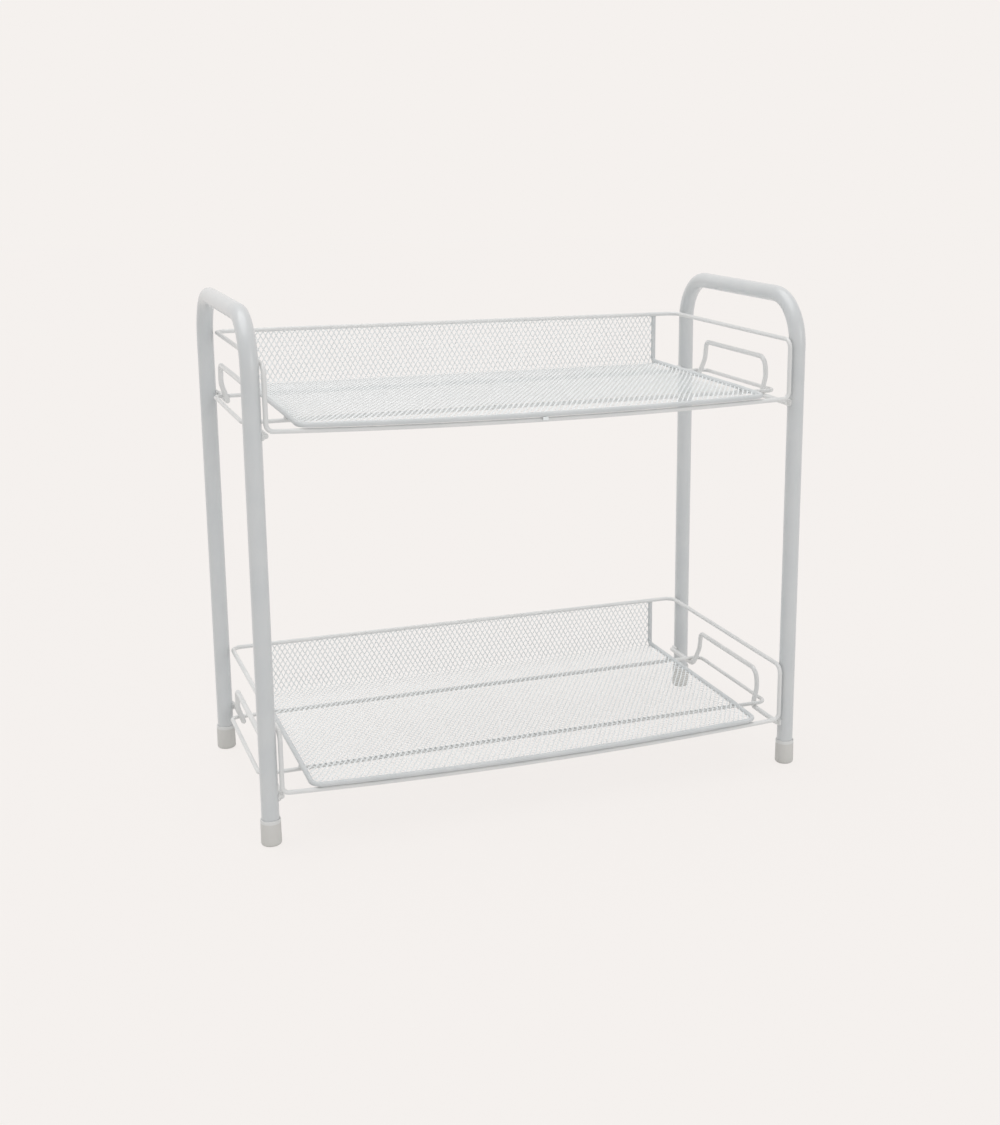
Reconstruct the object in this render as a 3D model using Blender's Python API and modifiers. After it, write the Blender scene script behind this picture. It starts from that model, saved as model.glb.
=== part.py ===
"""Two-tier shelf organizer in white coated steel.

Two end frames, each a tube bent into an upside-down U, stand on plastic foot caps. A wire bracket with
a raised loop is welded between the legs of each frame, low down and high up. Each shelf is a wire rail
with a wire ring and an expanded-metal tray on it, and hooks its ring over the loops of two brackets.

X runs along the shelves, Y from front to rear and Z up. The origin is the middle of the footprint.
"""

import math

import bpy
from mathutils import Matrix, Vector

MM = 0.001

# Clearances
SEAT_GAP = 0.3 * MM            # between pieces that touch or are welded
LIFT_CLEARANCE = 0.5 * MM      # beside pieces that slide past each other

# End frames
LEG_SPAN_X = 426 * MM          # between leg axes, end to end
LEG_SPAN_Y = 204 * MM          # between leg axes, front to rear
FRAME_HEIGHT = 392 * MM        # floor to the top of the bend
TUBE_DIAMETER = 13 * MM
TUBE_WALL = 1 * MM
TUBE_BEND_RADIUS = 38 * MM     # on the tube's axis

# Foot caps
CAP_HEIGHT = 20 * MM
CAP_FLOOR = 3 * MM
CAP_WALL = 0.8 * MM            # at the mouth
CAP_FLARE = 0.4 * MM           # how much the foot is wider than the mouth, on the radius
CAP_EDGE_RADIUS = 2 * MM

# Shelves: the height of each front rail's axis
LOWER_SHELF_HEIGHT = 40 * MM
UPPER_SHELF_DROP = 85 * MM     # below the top of the end frames
SHELF_HEIGHTS = {"lower": LOWER_SHELF_HEIGHT, "upper": FRAME_HEIGHT - UPPER_SHELF_DROP}

# Rail: front run low, side and rear runs high
RAIL_WIRE = 3.5 * MM
RAIL_RISE = 46 * MM            # front run's axis to the side runs' axes
RAIL_FRONT_REACH = 4.4 * MM    # in front of the front legs' axes
RAIL_REAR_REACH = 3 * MM       # behind the rear legs' axes
RAIL_FOOT_RADIUS = 5 * MM      # front run to uprights
RAIL_SHOULDER_RADIUS = 7 * MM  # uprights to side runs
RAIL_REAR_RADIUS = 9 * MM

# Brackets
BRACKET_WIRE = 4 * MM
LOOP_TOP_LENGTH = 108 * MM
LOOP_FOOT_LENGTH = 117 * MM
LOOP_FORWARD = 2 * MM          # the loop's middle, in front of the legs' middle
LOOP_HEIGHT = 30 * MM          # foot axis to the loop's top axis
LOOP_SHOULDER = 15 * MM        # foot axis to where the loop stands upright
LOOP_OUTSET = 5.3 * MM         # the loop stands this much nearer the legs' plane
LOOP_FOOT_RADIUS = 5 * MM
LOOP_SHOULDER_RADIUS = 20 * MM
LOOP_FRONT_RADIUS = 10 * MM    # top corners
LOOP_REAR_RADIUS = 5 * MM
FOOT_PAST_FRONT_LEG = 2 * MM
FOOT_PAST_REAR_LEG = 1 * MM

# Ring that hooks over the loops
RING_WIRE = 3.2 * MM
RING_END_GAP = 5.5 * MM        # loop foot to the ring's front and rear runs, on the axes
RING_CORNER_RADIUS = 7 * MM

# Tray rim, the wire that the mesh is hemmed over
RIM_WIRE = 4.2 * MM
RIM_SIDE_INSET = 22.2 * MM     # rail's side run to the rim's side run, on the axes
RIM_FRONT_REACH = 1.2 * MM     # in front of the front rail's axis
RIM_CORNER_RADIUS = 8 * MM
RIM_FOLD_RADIUS = 6 * MM

# Expanded metal, drawn with larger gaps than the real 4 mm by 7 mm ones
MESH_THICKNESS = 1.2 * MM
MESH_STRAND = 2.4 * MM
MESH_BORDER = 3.5 * MM
FLOOR_GAP_COLUMNS = 13
FLOOR_GAP_ROWS = 9
BACK_GAP_COLUMNS = 20
BACK_GAP_ROWS = 3

# Lug under the middle of the upper tray's front rim
LUG_WIDTH = 5 * MM
LUG_THICKNESS = 1.1 * MM
LUG_EDGE_RADIUS = 0.4 * MM
LUG_EDGE_STEPS = 2

# How finely round shapes are divided
QUARTER_TURN_STEPS = 6
TUBE_TURN_STEPS = 10
WIRE_RESOLUTION = 2
TUBE_RESOLUTION = 6
CAP_STEPS = 28
CAP_EDGE_STEPS = 3
WELD_DISTANCE = 0.01 * MM

# Places that follow from the sizes above
LEG_X = LEG_SPAN_X / 2
LEG_Y = LEG_SPAN_Y / 2
TUBE_RADIUS = TUBE_DIAMETER / 2
RAIL_RADIUS = RAIL_WIRE / 2
BRACKET_RADIUS = BRACKET_WIRE / 2
RING_RADIUS = RING_WIRE / 2
RIM_RADIUS = RIM_WIRE / 2

RAIL_X = LEG_X - TUBE_RADIUS - LIFT_CLEARANCE - RAIL_RADIUS
RAIL_FRONT_Y = -LEG_Y - RAIL_FRONT_REACH
RAIL_REAR_Y = LEG_Y + RAIL_REAR_REACH

# The tray lies on the tops of the front rail and the ring, which are level
BEARING_Z = RAIL_RADIUS
RING_Z = BEARING_Z - RING_RADIUS
BRACKET_Z = RING_Z - RING_RADIUS - SEAT_GAP - BRACKET_RADIUS
TRAY_Z = BEARING_Z + SEAT_GAP

BRACKET_X = LEG_X - TUBE_RADIUS - SEAT_GAP - BRACKET_RADIUS
LOOP_X = BRACKET_X + LOOP_OUTSET
RING_X = LOOP_X + BRACKET_RADIUS + LIFT_CLEARANCE + RING_RADIUS
RING_HALF_LENGTH = LOOP_FOOT_LENGTH / 2 + RING_END_GAP

RIM_X = RAIL_X - RIM_SIDE_INSET
RIM_Z = TRAY_Z + RIM_RADIUS
RIM_FRONT_Y = RAIL_FRONT_Y - RIM_FRONT_REACH
RIM_TOP_Z = RAIL_RISE - RAIL_RADIUS - SEAT_GAP


def clear_scene():
    for thing in list(bpy.data.objects):
        bpy.data.objects.remove(thing, do_unlink=True)


def coat(name, colour, roughness, metallic=0.0):
    """A Principled material of one colour."""
    material = bpy.data.materials.new(name)
    material.use_nodes = True
    shader = material.node_tree.nodes["Principled BSDF"]
    shader.inputs["Base Color"].default_value = (*colour, 1)
    shader.inputs["Roughness"].default_value = roughness
    shader.inputs["Metallic"].default_value = metallic
    material.diffuse_color = (*colour, 1)
    return material


def tube_coat():
    return coat("white_tube_coat", (0.80, 0.83, 0.85), 0.38)


def wire_coat():
    return coat("white_wire_coat", (0.78, 0.81, 0.83), 0.42)


def mesh_coat():
    return coat("white_mesh_coat", (0.84, 0.85, 0.86), 0.50)


def cap_plastic():
    return coat("light_grey_plastic", (0.70, 0.69, 0.66), 0.55)


def rounded_path(corners, radii, closed=False, quarter_steps=QUARTER_TURN_STEPS):
    """Straight runs between corners, with an arc of its own radius in place of each corner."""
    points = []
    for index, (corner, radius) in enumerate(zip(corners, radii)):
        here = Vector(corner)
        at_end = not closed and index in (0, len(corners) - 1)
        if at_end or radius == 0:
            points.append(here)
            continue
        back = (Vector(corners[index - 1]) - here).normalized()
        ahead = (Vector(corners[(index + 1) % len(corners)]) - here).normalized()
        opening = back.angle(ahead)
        inset = radius / math.tan(opening / 2)
        centre = here + (back + ahead).normalized() * (radius / math.sin(opening / 2))
        first = (here + back * inset - centre).normalized()
        last = (here + ahead * inset - centre).normalized()
        turn = math.pi - opening
        steps = max(2, round(quarter_steps * turn / (math.pi / 2)))
        points += [centre + radius * first.slerp(last, step / steps) for step in range(steps + 1)]
    return points


def wire_curve(name, points, diameter, closed=False, resolution=WIRE_RESOLUTION, capped=True):
    """A round wire along the points."""
    curve = bpy.data.curves.new(name, "CURVE")
    curve.dimensions = "3D"
    curve.bevel_depth = diameter / 2
    curve.bevel_resolution = resolution
    curve.use_fill_caps = capped and not closed
    spline = curve.splines.new("POLY")
    spline.points.add(len(points) - 1)
    for spline_point, place in zip(spline.points, points):
        spline_point.co = (*place, 1)
    spline.use_cyclic_u = closed
    return curve


def place(name, data, material, collection, parent=None, location=(0, 0, 0), rotation=(0, 0, 0)):
    """An object that shows the data, with its material, in the collection."""
    thing = bpy.data.objects.new(name, data)
    thing.location = location
    thing.rotation_euler = rotation
    thing.parent = parent
    if not data.materials:
        data.materials.append(material)
    collection.objects.link(thing)
    return thing


def frame_mesh():
    """One tube bent into an upside-down U, as an open surface along its outside."""
    foot_z = CAP_FLOOR + SEAT_GAP
    top_z = FRAME_HEIGHT - TUBE_RADIUS
    corners = [(0, -LEG_Y, foot_z), (0, -LEG_Y, top_z), (0, LEG_Y, top_z), (0, LEG_Y, foot_z)]
    radii = [0, TUBE_BEND_RADIUS, TUBE_BEND_RADIUS, 0]
    path = rounded_path(corners, radii, quarter_steps=TUBE_TURN_STEPS)
    curve = wire_curve("frame_tube", path, TUBE_DIAMETER, resolution=TUBE_RESOLUTION, capped=False)
    bent_tube = bpy.data.objects.new("frame_tube", curve)
    bpy.context.scene.collection.objects.link(bent_tube)
    depsgraph = bpy.context.evaluated_depsgraph_get()
    mesh = bpy.data.meshes.new_from_object(bent_tube.evaluated_get(depsgraph))
    bpy.data.objects.remove(bent_tube)
    bpy.data.curves.remove(curve)
    return mesh


def add_frames(collection):
    """The two end frames, each with its tube's wall."""
    material = tube_coat()
    mesh = frame_mesh()
    mesh.shade_smooth()
    for name, side in (("left_frame", -1), ("right_frame", 1)):
        frame = place(name, mesh, material, collection, location=(side * LEG_X, 0, 0))
        wall = frame.modifiers.new("tube wall", "SOLIDIFY")
        wall.thickness = TUBE_WALL
        wall.offset = -1


def cap_profile():
    """Half section of a foot cap: up the bore, over the mouth, down the outside and in below."""
    bore_radius = TUBE_RADIUS + SEAT_GAP
    mouth_radius = bore_radius + CAP_WALL
    foot_radius = mouth_radius + CAP_FLARE
    edge_centre = foot_radius - CAP_EDGE_RADIUS
    points = [(0, CAP_FLOOR), (bore_radius, CAP_FLOOR), (bore_radius, CAP_HEIGHT), (mouth_radius, CAP_HEIGHT)]
    for step in range(CAP_EDGE_STEPS + 1):
        angle = math.pi / 2 * step / CAP_EDGE_STEPS
        points.append((edge_centre + CAP_EDGE_RADIUS * math.cos(angle),
                       CAP_EDGE_RADIUS - CAP_EDGE_RADIUS * math.sin(angle)))
    points.append((0, 0))
    return points


def add_foot_caps(collection):
    """A plastic sleeve with a closed floor on each leg end."""
    material = cap_plastic()
    profile = cap_profile()
    mesh = bpy.data.meshes.new("foot_cap")
    edges = [(index, index + 1) for index in range(len(profile) - 1)]
    mesh.from_pydata([(radius, 0, height) for radius, height in profile], edges, [])
    for end, side in (("left", -1), ("right", 1)):
        for row, depth in (("front", -1), ("rear", 1)):
            location = (side * LEG_X, depth * LEG_Y, 0)
            cap = place(f"{end}_{row}_foot_cap", mesh, material, collection, location=location)
            turning = cap.modifiers.new("turned", "SCREW")
            turning.steps = CAP_STEPS
            turning.render_steps = CAP_STEPS
            turning.use_merge_vertices = True
            turning.merge_threshold = WELD_DISTANCE
            turning.use_smooth_shade = False


def bracket_path(side):
    """Foot along the legs' inner sides, up and outward into the loop, and back down to the foot."""
    foot_x = side * BRACKET_X
    loop_x = side * LOOP_X
    shoulder_z = BRACKET_Z + LOOP_SHOULDER
    top_z = BRACKET_Z + LOOP_HEIGHT
    foot_half = LOOP_FOOT_LENGTH / 2
    top_half = LOOP_TOP_LENGTH / 2
    upright_half = foot_half - (foot_half - top_half) * LOOP_SHOULDER / LOOP_HEIGHT
    corners = [
        (foot_x, -LEG_Y - FOOT_PAST_FRONT_LEG, BRACKET_Z),
        (foot_x, -LOOP_FORWARD - foot_half, BRACKET_Z),
        (loop_x, -LOOP_FORWARD - upright_half, shoulder_z),
        (loop_x, -LOOP_FORWARD - top_half, top_z),
        (loop_x, -LOOP_FORWARD + top_half, top_z),
        (loop_x, -LOOP_FORWARD + upright_half, shoulder_z),
        (foot_x, -LOOP_FORWARD + foot_half, BRACKET_Z),
        (foot_x, LEG_Y + FOOT_PAST_REAR_LEG, BRACKET_Z),
    ]
    rising_radii = [LOOP_FOOT_RADIUS, LOOP_SHOULDER_RADIUS, LOOP_FRONT_RADIUS]
    falling_radii = [LOOP_REAR_RADIUS, LOOP_SHOULDER_RADIUS, LOOP_FOOT_RADIUS]
    return rounded_path(corners, [0, *rising_radii, *falling_radii, 0])


def add_brackets(collection):
    """Four looped wires, one at each end of each shelf."""
    material = wire_coat()
    for end, side in (("left", -1), ("right", 1)):
        curve = wire_curve(f"{end}_bracket", bracket_path(side), BRACKET_WIRE)
        for level, height in SHELF_HEIGHTS.items():
            place(f"{end}_{level}_bracket", curve, material, collection, location=(0, 0, height))


def rail_curve():
    """One closed wire: a low front run, two uprights and a high run round the sides and rear."""
    corners = [
        (-RAIL_X, RAIL_FRONT_Y, 0),
        (RAIL_X, RAIL_FRONT_Y, 0),
        (RAIL_X, RAIL_FRONT_Y, RAIL_RISE),
        (RAIL_X, RAIL_REAR_Y, RAIL_RISE),
        (-RAIL_X, RAIL_REAR_Y, RAIL_RISE),
        (-RAIL_X, RAIL_FRONT_Y, RAIL_RISE),
    ]
    radii = [RAIL_FOOT_RADIUS, RAIL_FOOT_RADIUS, RAIL_SHOULDER_RADIUS,
             RAIL_REAR_RADIUS, RAIL_REAR_RADIUS, RAIL_SHOULDER_RADIUS]
    path = rounded_path(corners, radii, closed=True)
    return wire_curve("rail", path, RAIL_WIRE, closed=True)


def ring_curve():
    """One closed flat wire that passes outside the loops at both ends."""
    front_y = -LOOP_FORWARD - RING_HALF_LENGTH
    rear_y = -LOOP_FORWARD + RING_HALF_LENGTH
    corners = [
        (-RING_X, front_y, RING_Z),
        (RING_X, front_y, RING_Z),
        (RING_X, rear_y, RING_Z),
        (-RING_X, rear_y, RING_Z),
    ]
    path = rounded_path(corners, [RING_CORNER_RADIUS] * len(corners), closed=True)
    return wire_curve("ring", path, RING_WIRE, closed=True)


def rim_curve():
    """The tray's edge wire: down from the rear rail, along one side, the front and the other side."""
    left_half = [
        (-RIM_X, RAIL_REAR_Y, RIM_TOP_Z),
        (-RIM_X, RAIL_REAR_Y, RIM_Z),
        (-RIM_X, RIM_FRONT_Y, RIM_Z),
    ]
    right_half = [(-x, y, z) for x, y, z in reversed(left_half)]
    radii = [0, RIM_FOLD_RADIUS, RIM_CORNER_RADIUS]
    path = rounded_path(left_half + right_half, radii + radii[::-1])
    return wire_curve("rim", path, RIM_WIRE)


def add_outline(curve, points):
    spline = curve.splines.new("POLY")
    spline.points.add(len(points) - 1)
    for spline_point, point in zip(spline.points, points):
        spline_point.co = (point[0], point[1], 0, 1)
    spline.use_cyclic_u = True


def net_curve(name, width, depth, columns, rows, front_radius=0):
    """A flat sheet with staggered rows of diamond gaps inside a plain border."""
    curve = bpy.data.curves.new(name, "CURVE")
    curve.dimensions = "2D"
    curve.fill_mode = "BOTH"
    curve.extrude = MESH_THICKNESS / 2
    half_width = width / 2
    half_depth = depth / 2
    corners = [(-half_width, -half_depth, 0), (half_width, -half_depth, 0),
               (half_width, half_depth, 0), (-half_width, half_depth, 0)]
    add_outline(curve, rounded_path(corners, [front_radius, front_radius, 0, 0], closed=True))
    inner_width = width - 2 * MESH_BORDER
    inner_depth = depth - 2 * MESH_BORDER
    cell_half_width = inner_width / columns / 2
    cell_half_depth = inner_depth / (rows + 1)
    cell_diagonal = math.hypot(cell_half_width, cell_half_depth)
    open_share = 1 - MESH_STRAND / 2 * cell_diagonal / (cell_half_width * cell_half_depth)
    reach_x = open_share * cell_half_width
    reach_y = open_share * cell_half_depth
    for row in range(rows):
        staggered = row % 2
        y = (row + 1) * cell_half_depth - inner_depth / 2
        for column in range(columns - staggered):
            x = (2 * column + 1 + staggered) * cell_half_width - inner_width / 2
            add_outline(curve, [(x - reach_x, y), (x, y - reach_y), (x + reach_x, y), (x, y + reach_y)])
    return curve


def add_lug(collection, shelf):
    """A small plate under the rim that stands in front of the rail and keeps the two in line."""
    rear_y = RAIL_FRONT_Y - RAIL_RADIUS - SEAT_GAP
    rim_clearance = RIM_RADIUS + SEAT_GAP
    top_z = RIM_Z - math.sqrt(rim_clearance ** 2 - (rear_y - RIM_FRONT_Y) ** 2)
    bottom_z = -RAIL_RADIUS
    bpy.ops.mesh.primitive_cube_add(size=1)
    lug = bpy.context.active_object
    lug.name = "upper_rim_lug"
    lug.data.transform(Matrix.Diagonal((LUG_WIDTH, LUG_THICKNESS, top_z - bottom_z, 1)))
    lug.location = (0, rear_y - LUG_THICKNESS / 2, (top_z + bottom_z) / 2)
    lug.parent = shelf
    lug.data.materials.append(wire_coat())
    for owner in list(lug.users_collection):
        owner.objects.unlink(lug)
    collection.objects.link(lug)
    edges = lug.modifiers.new("rounded edges", "BEVEL")
    edges.width = LUG_EDGE_RADIUS
    edges.segments = LUG_EDGE_STEPS


def add_shelves(collection):
    """Both shelves. Each hangs from an empty at its front rail's height and lifts straight up."""
    wires = wire_coat()
    sheet = mesh_coat()
    rail = rail_curve()
    ring = ring_curve()
    rim = rim_curve()
    mesh_half_width = RIM_X - RIM_RADIUS - SEAT_GAP
    floor_front_y = RIM_FRONT_Y + RIM_RADIUS + SEAT_GAP
    floor_rear_y = RAIL_REAR_Y + MESH_THICKNESS / 2
    floor_z = TRAY_Z + MESH_THICKNESS / 2
    back_foot_z = TRAY_Z + MESH_THICKNESS + SEAT_GAP
    floor_corner_radius = RIM_CORNER_RADIUS - RIM_RADIUS - SEAT_GAP
    floor_net = net_curve("floor_mesh", 2 * mesh_half_width, floor_rear_y - floor_front_y,
                          FLOOR_GAP_COLUMNS, FLOOR_GAP_ROWS, floor_corner_radius)
    back_net = net_curve("back_mesh", 2 * mesh_half_width, RIM_TOP_Z - back_foot_z,
                         BACK_GAP_COLUMNS, BACK_GAP_ROWS)
    for level, height in SHELF_HEIGHTS.items():
        shelf = bpy.data.objects.new(f"{level}_shelf", None)
        shelf.location = (0, 0, height)
        collection.objects.link(shelf)
        place(f"{level}_rail", rail, wires, collection, shelf)
        place(f"{level}_ring", ring, wires, collection, shelf)
        place(f"{level}_tray_rim", rim, wires, collection, shelf)
        place(f"{level}_floor_mesh", floor_net, sheet, collection, shelf,
              location=(0, (floor_front_y + floor_rear_y) / 2, floor_z))
        place(f"{level}_back_mesh", back_net, sheet, collection, shelf,
              location=(0, RAIL_REAR_Y, (back_foot_z + RIM_TOP_Z) / 2), rotation=(math.pi / 2, 0, 0))
        if level == "upper":
            add_lug(collection, shelf)


def main():
    clear_scene()
    collection = bpy.data.collections.new("two_tier_shelf_organizer")
    bpy.context.scene.collection.children.link(collection)
    add_frames(collection)
    add_foot_caps(collection)
    add_brackets(collection)
    add_shelves(collection)


main()
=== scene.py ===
# %% [markdown]
# # A two-tier shelf organizer in white coated steel
#
# The real object is a small free-standing shelf for a worktop. Two end frames are tubes bent into an
# upside-down U. Four wire brackets with a raised loop are welded between their legs, and two shelves of
# wire and expanded metal hook over the loops. We dress a frame that already has the right sizes: every
# piece below is placed by reading the boxes of that frame's nodes, so no place is measured twice.

# %% Load the frame
import math
from collections import namedtuple

import bmesh
import bpy
from mathutils import Matrix, Vector


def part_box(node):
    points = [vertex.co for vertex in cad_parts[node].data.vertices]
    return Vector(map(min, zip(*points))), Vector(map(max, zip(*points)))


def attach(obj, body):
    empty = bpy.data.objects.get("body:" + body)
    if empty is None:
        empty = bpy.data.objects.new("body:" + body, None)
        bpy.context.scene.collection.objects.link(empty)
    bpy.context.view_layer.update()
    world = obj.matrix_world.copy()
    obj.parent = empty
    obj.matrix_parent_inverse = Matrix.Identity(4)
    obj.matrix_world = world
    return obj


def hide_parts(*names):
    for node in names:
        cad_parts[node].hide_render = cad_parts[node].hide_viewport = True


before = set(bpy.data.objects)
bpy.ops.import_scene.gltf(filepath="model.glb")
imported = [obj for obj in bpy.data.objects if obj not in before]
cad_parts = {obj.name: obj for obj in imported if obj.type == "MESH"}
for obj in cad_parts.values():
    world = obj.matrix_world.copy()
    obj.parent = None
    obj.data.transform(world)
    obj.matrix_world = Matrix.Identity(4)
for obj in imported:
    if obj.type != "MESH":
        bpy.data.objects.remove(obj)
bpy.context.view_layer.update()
MM = 0.001

# %% [markdown]
# ## Reading the sizes
#
# A node's box gives the outside of a wire or tube, so an axis lies one radius inside it. We state the radii
# here, and each bend or length where it is first needed. Every place follows from a box.

# %% Radii and places
TUBE_RADIUS = 6.5 * MM
BRACKET_RADIUS = 2 * MM
RING_RADIUS = 1.6 * MM
RAIL_RADIUS = 1.75 * MM
RIM_RADIUS = 2.1 * MM
LEVELS = ("lower", "upper")
ENDS = {"left": -1, "right": 1}

frame_low, frame_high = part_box("right_frame")
LEG_X = frame_high.x - TUBE_RADIUS
LEG_Y = frame_high.y - TUBE_RADIUS
FRAME_TOP = frame_high.z - TUBE_RADIUS
LEG_FOOT = frame_low.z
print("leg axes at", LEG_X / MM, LEG_Y / MM, "frame top axis at", FRAME_TOP / MM)

Rail = namedtuple("Rail", "half_width front rear low high")


def rail_places(level):
    """The places of a rail, on its axis."""
    low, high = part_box(f"{level}_rail")
    return Rail(high.x - RAIL_RADIUS, low.y + RAIL_RADIUS, high.y - RAIL_RADIUS,
                low.z + RAIL_RADIUS, high.z - RAIL_RADIUS)


for level in LEVELS:
    print(level, "front rail at", round(rail_places(level).low / MM, 2))

# %% [markdown]
# ## A path with rounded corners
#
# Bent wire and tube are straight runs joined by arcs. We list only the corners and let one function put
# an arc of the bending tool's radius in place of each. Twelve steps to a quarter turn look round close up.

# %% Rounded paths
QUARTER = math.pi / 2
QUARTER_STEPS = 12
LEAST_STEPS = 3


def rounded_path(corners, radii, closed=False):
    """The points along straight runs between corners, with an arc in place of each corner."""
    points = []
    for index, (corner, radius) in enumerate(zip(corners, radii)):
        here = Vector(corner)
        at_end = not closed and index in (0, len(corners) - 1)
        if at_end or radius == 0:
            points.append(here)
            continue
        back = (Vector(corners[index - 1]) - here).normalized()
        ahead = (Vector(corners[(index + 1) % len(corners)]) - here).normalized()
        opening = back.angle(ahead)
        inset = radius / math.tan(opening / 2)
        centre = here + (back + ahead).normalized() * (radius / math.sin(opening / 2))
        first = (here + back * inset - centre).normalized()
        last = (here + ahead * inset - centre).normalized()
        steps = max(LEAST_STEPS, round(QUARTER_STEPS * (math.pi - opening) / QUARTER))
        points += [centre + radius * first.slerp(last, step / steps) for step in range(steps + 1)]
    return points


# %% [markdown]
# ## Wires and tubes
#
# A curve with a round bevel sweeps a skin along a path. A cut wire has a slightly rounded end where the
# coating has flowed over the cut, so we give its last points a shrinking radius, and its end is a small
# dome instead of a sharp disc. Each skin is turned into a plain mesh at once, and a wire's doubles are
# welded.

# %% Plain meshes
WELD_DISTANCE = 0.005 * MM


def add_to_scene(thing):
    bpy.context.scene.collection.objects.link(thing)
    return thing


def finished_mesh(holder):
    """The mesh that an object's curve or modifiers make. The object itself goes."""
    shown = add_to_scene(holder).evaluated_get(bpy.context.evaluated_depsgraph_get())
    mesh = bpy.data.meshes.new_from_object(shown)
    bpy.data.objects.remove(holder)
    return mesh


def baked(mesh, name, kind, **settings):
    """The mesh with one modifier applied, as a new plain mesh."""
    holder = bpy.data.objects.new(name, mesh)
    modifier = holder.modifiers.new(name, kind)
    for setting, value in settings.items():
        setattr(modifier, setting, value)
    return finished_mesh(holder)


def as_mesh(build, name):
    mesh = bpy.data.meshes.new(name)
    build.to_mesh(mesh)
    build.free()
    return mesh


def welded(build, name):
    """A mesh whose doubles are merged and whose faces point out."""
    bmesh.ops.remove_doubles(build, verts=build.verts, dist=WELD_DISTANCE)
    bmesh.ops.recalc_face_normals(build, faces=build.faces)
    return as_mesh(build, name)


# %% Sweeps and wires
WIRE_RESOLUTION = 8
END_ROUND = 0.6 * MM
END_STEPS = 5


def swept(name, points, radius, resolution, shares=None, closed=False):
    """A round skin along the points. With shares of the radius, one for each, its ends are closed too."""
    curve = bpy.data.curves.new(name, "CURVE")
    curve.dimensions = "3D"
    curve.bevel_depth = radius
    curve.bevel_resolution = resolution
    curve.use_fill_caps = shares is not None
    spline = curve.splines.new("POLY")
    spline.points.add(len(points) - 1)
    for spline_point, place, share in zip(spline.points, points, shares or [1] * len(points)):
        spline_point.co = (*place, 1)
        spline_point.radius = share
    spline.use_cyclic_u = closed
    mesh = finished_mesh(bpy.data.objects.new(name, curve))
    bpy.data.curves.remove(curve)
    return mesh


def with_round_ends(points, radius):
    """The points with more near both ends, each paired with its share of the wire's radius."""
    run = []
    for step in range(END_STEPS + 1):
        angle = QUARTER * step / END_STEPS
        run.append((END_ROUND * (1 - math.cos(angle)), 1 - END_ROUND / radius * (1 - math.sin(angle))))
    start_way = (points[1] - points[0]).normalized()
    end_way = (points[-2] - points[-1]).normalized()
    first = [(points[0] + start_way * inward, share) for inward, share in run]
    last = [(points[-1] + end_way * inward, share) for inward, share in run]
    return first + [(point, 1) for point in points[1:-1]] + last[::-1]


def wire_mesh(name, points, radius, closed=False):
    """A mesh of a round wire along the points."""
    shares = None
    if not closed:
        points, shares = zip(*with_round_ends(points, radius))
    skin = swept(name, points, radius, WIRE_RESOLUTION, shares, closed)
    build = bmesh.new()
    build.from_mesh(skin)
    bpy.data.meshes.remove(skin)
    return welded(build, name)


# %% Pieces
SHARP_ANGLE = math.radians(50)


def add_piece(name, mesh, material, body, *nodes, slot=None):
    """Shows the mesh with its material on a body, in place of the frame's nodes."""
    mesh.materials.clear()
    mesh.materials.append(material)
    mesh.shade_smooth()
    mesh.set_sharp_from_angle(angle=SHARP_ANGLE)
    piece = add_to_scene(bpy.data.objects.new(name, mesh))
    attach(piece, body)
    if nodes:
        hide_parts(*nodes)
    print(f"{name}: {len(mesh.polygons)} faces on {body}")


# %% [markdown]
# ## Building node trees by hand
#
# Materials and Geometry Nodes are both trees of nodes. A small class keeps them readable: it adds a node,
# takes plain values or other nodes' outputs as its inputs, and hands back one of its outputs.

# %% A helper for node trees


class Tree:
    """A node tree that is built step by step. In a group, given holds the group's own inputs."""

    def __init__(self, group, given=None):
        self.group = group
        self.given = given

    def fill(self, node, inputs):
        """Fills a node's inputs, by name or in order, with plain values or with outputs to link from."""
        pairs = inputs.items() if isinstance(inputs, dict) else enumerate(inputs)
        for key, value in pairs:
            if isinstance(value, bpy.types.NodeSocket):
                self.group.links.new(value, node.inputs[key])
            else:
                node.inputs[key].default_value = value
        return node.outputs

    def add(self, kind, inputs=(), output=0, **settings):
        """Adds a node with its settings and inputs, and returns one of its outputs."""
        node = self.group.nodes.new(kind)
        for setting, value in settings.items():
            setattr(node, setting, value)
        return self.fill(node, inputs)[output]

    def math(self, operation, *values, clamp=False):
        return self.add("ShaderNodeMath", values, operation=operation, use_clamp=clamp)

    def vector(self, operation, *values, output=0):
        return self.add("ShaderNodeVectorMath", values, output, operation=operation)

    def split(self, vector):
        return self.fill(self.group.nodes.new("ShaderNodeSeparateXYZ"), (vector,))

    def join(self, x, y, z):
        return self.add("ShaderNodeCombineXYZ", (x, y, z))

    def mix(self, factor, first, second):
        """A colour between two others."""
        inputs = {"Factor": factor, "A": first, "B": second}
        return self.add("ShaderNodeMix", inputs, "Result", data_type="RGBA")

    def map_to_one(self, value, low, high):
        """0 at low and 1 at high, and even between them."""
        inputs = {"Value": value, "From Min": low, "From Max": high}
        return self.add("ShaderNodeMapRange", inputs, "Result")

    def finish(self, results):
        """Links the group's own outputs and returns the group."""
        self.fill(self.group.nodes.new("NodeGroupOutput"), results)
        return self.group


def new_group(name, kind, inputs, outputs):
    """An empty node group with named inputs and outputs, as a tree."""
    group = bpy.data.node_groups.new(name, kind)
    for way, sockets in (("INPUT", inputs), ("OUTPUT", outputs)):
        for title, socket_kind in sockets.items():
            group.interface.new_socket(name=title, in_out=way, socket_type=socket_kind)
    return Tree(group, group.nodes.new("NodeGroupInput").outputs)


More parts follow.
